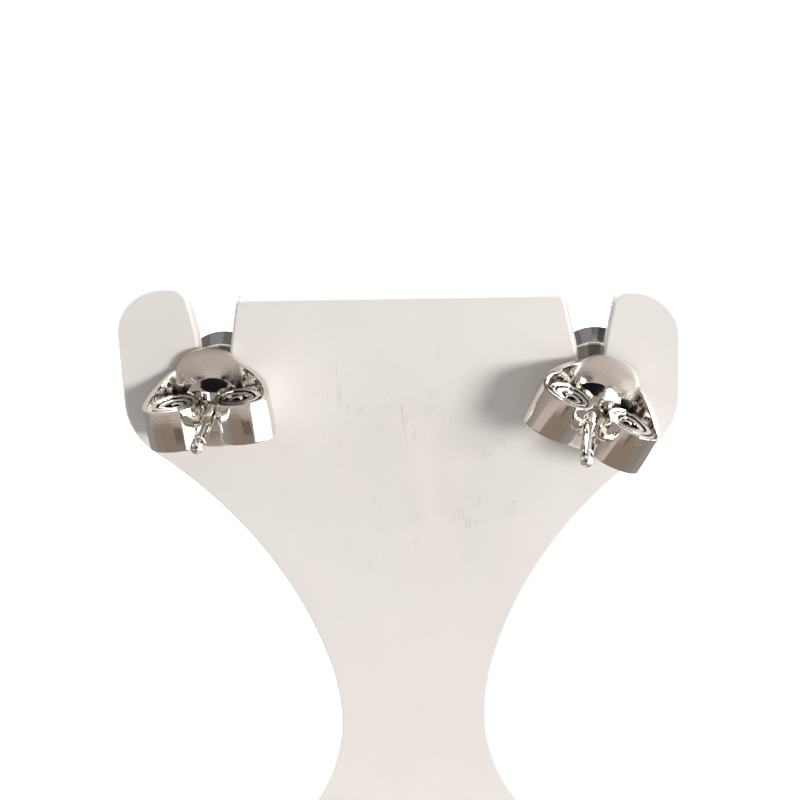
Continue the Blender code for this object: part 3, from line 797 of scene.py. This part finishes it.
def butterfly_mesh(crown):
    """Middle surface of the back: +Z away from the stand, the wings along X."""
    bm = bmesh.new()
    fold = bm.edges.layers.float.new("crease_edge")
    hole = POST_RADIUS + BACK_HOLE_CLEARANCE
    start = pi / BACK_RIM_STEPS
    ring = bmesh.ops.create_circle(bm, segments=BACK_RIM_STEPS, radius=hole)["verts"]
    bmesh.ops.rotate(bm, verts=ring, cent=(0, 0, 0), matrix=Matrix.Rotation(start, 3, "Z"))
    bmesh.ops.translate(bm, verts=ring, vec=(0, 0, disc_height(hole)))
    edges = bm.edges[:]
    for edge in edges:
        edge[fold] = 1.0
    for share in (0.12, 0.4, 0.7, 0.95, 1.0, 1.06, None):
        made = bmesh.ops.extrude_edge_only(bm, edges=edges)["geom"]
        edges = edges_of(made)
        for vert in verts_of(made):
            turn = atan2(vert.co.y, vert.co.x)
            if share is None:
                vert.co = disc_rim(turn)
            else:
                radius = hole + share * (BACK_DOME_RADIUS - hole)
                vert.co = (radius * cos(turn), radius * sin(turn), disc_height(radius))
        if share == 1.0:
            for edge in edges:
                edge[fold] = 0.3
    path = [Vector((BACK_CREASE, disc_height(BACK_CREASE)))]
    path += [Vector(wing_point(out, up)) for out, up, width in WING_SECTIONS]
    path.append(2 * path[-1] - path[-2])
    for side in (1, -1):
        crease = [edge for edge in edges
                  if all(abs(vert.co.x - side * BACK_CREASE) < 1e-7 for vert in edge.verts)]
        for edge in crease:
            edge[fold] = 0.9
        widest = max(abs(v.co.y) for e in crease for v in e.verts)
        for i, (out, up, width) in enumerate(WING_SECTIONS):
            made = bmesh.ops.extrude_edge_only(bm, edges=crease)["geom"]
            crease = edges_of(made)
            half = width * BACK_WING_HALF_WIDTH
            along = (path[i + 2] - path[i]).normalized()
            for vert in verts_of(made):
                vert.co.y *= half / widest
                proud = crown * min(1.0, i / 4) * (1 - (vert.co.y / half) ** 2)
                vert.co.x = side * (path[i + 1].x + proud * along.y)
                vert.co.z = path[i + 1].y - proud * along.x
            widest = half
    bmesh.ops.translate(bm, verts=bm.verts, vec=(0, 0, BACK_SHEET / 2))
    bmesh.ops.recalc_face_normals(bm, faces=bm.faces)
    return bm


class BackLook(bpy.types.PropertyGroup):
    """What a user may change on the butterfly backs."""

    sheet: FloatProperty(
        name="Strip thickness", description="Thickness of the pressed strip",
        default=STRIP_AS_ROLLED, min=0.0001, max=0.0005, unit="LENGTH", precision=5)
    crown: FloatProperty(
        name="Crown", description="How far the strip bulges between its two edges",
        default=0.00004, min=0.0, max=0.0002, unit="LENGTH", precision=6)
    edge_soft: FloatProperty(
        name="Edge radius", description="How far tumbling has rounded the strip's edges",
        default=0.00006, min=0.0, max=0.0001, unit="LENGTH", precision=6)


class EARRINGS_OT_backs(bpy.types.Operator):
    """Build the two butterfly backs from one pressed and rolled strip each"""

    bl_idname = "earrings.backs"
    bl_label = "Butterfly backs"

    def execute(self, context):
        look = context.scene.earring_back
        for side, stud in STUDS.items():
            place = back_place(stud)
            finish = metal_finish(f"{side}_pressed_white_gold", context.scene.earring_metal, place,
                                  0.000012, satin=0.24)
            piece = add_piece(f"{side}_back", butterfly_mesh(look.crown), place, finish,
                              f"{side}_back", "pressed_white_gold", f"{side}_butterfly_back")
            smooth = piece.modifiers.new("pressed_curves", "SUBSURF")
            smooth.levels = smooth.render_levels = 2
            wall = piece.modifiers.new("strip_thickness", "SOLIDIFY")
            wall.thickness = look.sheet
            wall.offset = 0.0
            wall.use_even_offset = True
            edge = piece.modifiers.new("worn_edges", "BEVEL")
            edge.width = look.edge_soft
            edge.segments = 3
            edge.limit_method = "ANGLE"
            edge.angle_limit = radians(60)
        return {"FINISHED"}


# ---------------------------------------------------------------------------------------------
# Studio
# ---------------------------------------------------------------------------------------------

def add_light(name, azimuth, elevation, size, power, target):
    """A round soft light; azimuth runs from the camera's side towards the picture's right."""
    light = bpy.data.lights.new(name, "AREA")
    light.shape = "DISK"
    light.size = size
    light.energy = power
    lamp = bpy.data.objects.new(name, light)
    towards = direction(azimuth, elevation)
    lamp.location = target + towards * LIGHT_DISTANCE
    lamp.rotation_mode = "QUATERNION"
    lamp.rotation_quaternion = towards.to_track_quat("Z", "Y")
    lamp.visible_camera = False
    bpy.context.scene.collection.objects.link(lamp)
    return lamp


def direction(azimuth, elevation):
    a, e = radians(azimuth), radians(elevation)
    return Vector((-sin(a) * cos(e), cos(a) * cos(e), sin(e)))


def only_reflected(thing):
    """Leaves a thing to reflections and to what is seen through the stones."""
    thing.visible_camera = False
    thing.visible_diffuse = False
    thing.visible_shadow = False


def room_finish():
    """The plain room round the table: taupe table, grey walls, pale ceiling."""
    finish = Finish("studio_room")
    towards = finish.node("ShaderNodeVectorMath", {"operation": "NORMALIZE"},
                          {0: finish.place}).outputs[0]
    front, up = finish.part_of(towards, "Y"), finish.part_of(towards, "Z")
    near = finish.blend(up.ramp(-0.54, -0.44), (0.285, 0.228, 0.185, 1.0), (0.61, 0.53, 0.485, 1.0))
    table = finish.blend(front.ramp(-0.2, 0.7), (0.34, 0.32, 0.31, 1.0), near)
    wall = finish.blend(front.ramp(-0.5, 0.5), (0.16, 0.155, 0.15, 1.0), (0.40, 0.35, 0.31, 1.0))
    colour = finish.blend(up.ramp(-0.30, -0.22), table, wall)
    colour = finish.blend(up.ramp(0.82, 0.97), colour, (0.85, 0.84, 0.82, 1.0))
    return finish.glow(colour)


def floor_finish(look):
    finish = Finish("pale_floor")
    tone = finish.noise(finish.place, 30.0, detail=3.0)
    colour = finish.blend(tone * 0.2, rgba(look.floor_colour), scaled(look.floor_colour, 0.97))
    return finish.surface(base_color=colour, roughness=0.6, emission_color=rgba((1.0, 1.0, 1.0)),
                          emission_strength=look.floor_glow)


class StudioLook(bpy.types.PropertyGroup):
    """What a user may change in the studio."""

    floor_colour: FloatVectorProperty(
        name="Floor", description="Colour of the pale floor",
        default=(0.92, 0.92, 0.915), subtype="COLOR", min=0.0, max=1.0)
    floor_glow: FloatProperty(
        name="Floor glow", description="Light that the floor gives off, as a light table does",
        default=0.66, min=0.0, max=1.0)
    key_power: FloatProperty(
        name="Key light", description="Power of the window-like light on the picture's right",
        default=2.05, min=0.0, unit="POWER")
    ambient: FloatProperty(
        name="Ambient light", description="Strength of the light from all round",
        default=0.42, min=0.0)


class EARRINGS_OT_stage(bpy.types.Operator):
    """Set the pale floor, the soft lights, the cards that the metal reflects and the camera"""

    bl_idname = "earrings.stage"
    bl_label = "Studio"

    def execute(self, context):
        scene = context.scene
        look = scene.earring_studio
        middle = plate_frame() @ Vector((0, 0, 0))

        bm = bmesh.new()
        bmesh.ops.create_circle(bm, cap_ends=True, segments=96, radius=3.0)
        self.add_stage("floor", bm, floor_finish(look))
        bpy.data.objects["floor"].visible_diffuse = False
        bpy.data.objects["floor"].visible_glossy = False

        bm = bmesh.new()
        bmesh.ops.create_uvsphere(bm, u_segments=48, v_segments=24, radius=1.6)
        bmesh.ops.reverse_faces(bm, faces=bm.faces)
        only_reflected(self.add_stage("room", bm, room_finish()))
        for name, azimuth, elevation, half_width, half_height, colour, is_round in CARDS:
            towards = direction(azimuth, elevation)
            bm = bmesh.new()
            if is_round:
                bmesh.ops.create_circle(bm, cap_ends=True, segments=64, radius=CARD_DISTANCE)
            else:
                bmesh.ops.create_grid(bm, x_segments=1, y_segments=1, size=CARD_DISTANCE)
            bmesh.ops.scale(bm, vec=(tan(radians(half_width)), tan(radians(half_height)), 1.0),
                            verts=bm.verts)
            place = (Matrix.Translation(middle + towards * CARD_DISTANCE)
                     @ towards.to_track_quat("Z", "Y").to_matrix().to_4x4())
            bmesh.ops.transform(bm, matrix=place, verts=bm.verts)
            only_reflected(self.add_stage(name, bm, Finish(name).glow(rgba(colour))))

        add_light("key_light", *KEY_DIRECTION, KEY_SIZE, look.key_power, middle)
        for name, azimuth, elevation, power in EDGE_LIGHTS:
            lamp = add_light(name, azimuth, elevation, EDGE_LIGHT_SIZE, power, middle)
            lamp.visible_glossy = False

        world = bpy.data.worlds.new("studio")
        scene.world = world
        world.use_nodes = True
        world.node_tree.nodes["Background"].inputs["Color"].default_value = (1.0, 1.0, 1.0, 1.0)
        world.node_tree.nodes["Background"].inputs["Strength"].default_value = look.ambient
        scene.view_settings.view_transform = "Standard"

        aim = Vector((cos(VIEW_LIFT) * sin(VIEW_ASIDE), sin(VIEW_LIFT),
                      cos(VIEW_LIFT) * cos(VIEW_ASIDE)))
        right = Vector((0, 1, 0)).cross(aim).normalized()
        up = aim.cross(right)
        across = right * cos(VIEW_ROLL) - up * sin(VIEW_ROLL)
        upward = right * sin(VIEW_ROLL) + up * cos(VIEW_ROLL)
        to_plate = Matrix(((-1, 0, 0), (0, 0, 1), (0, 1, 0)))
        plate = plate_frame()
        turn = plate.to_3x3() @ to_plate @ Matrix((across, upward, aim)).transposed()
        camera = bpy.data.objects.new("camera", bpy.data.cameras.new("camera"))
        camera.data.lens = VIEW_LENS
        camera.data.sensor_width = VIEW_SENSOR
        camera.data.clip_start = 0.002
        camera.matrix_world = (Matrix.Translation(plate @ (to_plate @ (aim * VIEW_DISTANCE)))
                               @ turn.to_4x4())
        scene.collection.objects.link(camera)
        scene.camera = camera
        return {"FINISHED"}

    def add_stage(self, name, bm, material):
        mesh = bpy.data.meshes.new(name)
        bm.to_mesh(mesh)
        bm.free()
        mesh.materials.append(material)
        thing = bpy.data.objects.new(name, mesh)
        bpy.context.scene.collection.objects.link(thing)
        return thing


# ---------------------------------------------------------------------------------------------
# Panel and registration
# ---------------------------------------------------------------------------------------------

STEPS = (EARRINGS_OT_stand, EARRINGS_OT_settings, EARRINGS_OT_stones, EARRINGS_OT_backs,
         EARRINGS_OT_stage)
LOOKS = {"earring_stand": StandLook, "earring_metal": MetalLook, "earring_stone": StoneLook,
         "earring_back": BackLook, "earring_studio": StudioLook}


class EARRINGS_PT_panel(bpy.types.Panel):
    """Lists the pieces and what may be changed on them"""

    bl_label = "Stud earrings"
    bl_space_type = "VIEW_3D"
    bl_region_type = "UI"
    bl_category = "Earrings"

    def draw(self, context):
        for step in STEPS:
            self.layout.operator(step.bl_idname)
        for name, look in LOOKS.items():
            box = self.layout.box()
            for entry in look.__annotations__:
                box.prop(getattr(context.scene, name), entry)


def register():
    for cls in (*LOOKS.values(), *STEPS, EARRINGS_PT_panel):
        bpy.utils.register_class(cls)
    for name, look in LOOKS.items():
        setattr(bpy.types.Scene, name, PointerProperty(type=look))


def unregister():
    for name in LOOKS:
        delattr(bpy.types.Scene, name)
    for cls in (EARRINGS_PT_panel, *reversed(STEPS), *reversed(LOOKS.values())):
        bpy.utils.unregister_class(cls)


def main():
    register()
    bpy.ops.earrings.stand()
    bpy.ops.earrings.settings()
    bpy.ops.earrings.stones()
    bpy.ops.earrings.backs()
    bpy.ops.earrings.stage()
    bpy.context.view_layer.update()


if __name__ == "__main__":
    main()
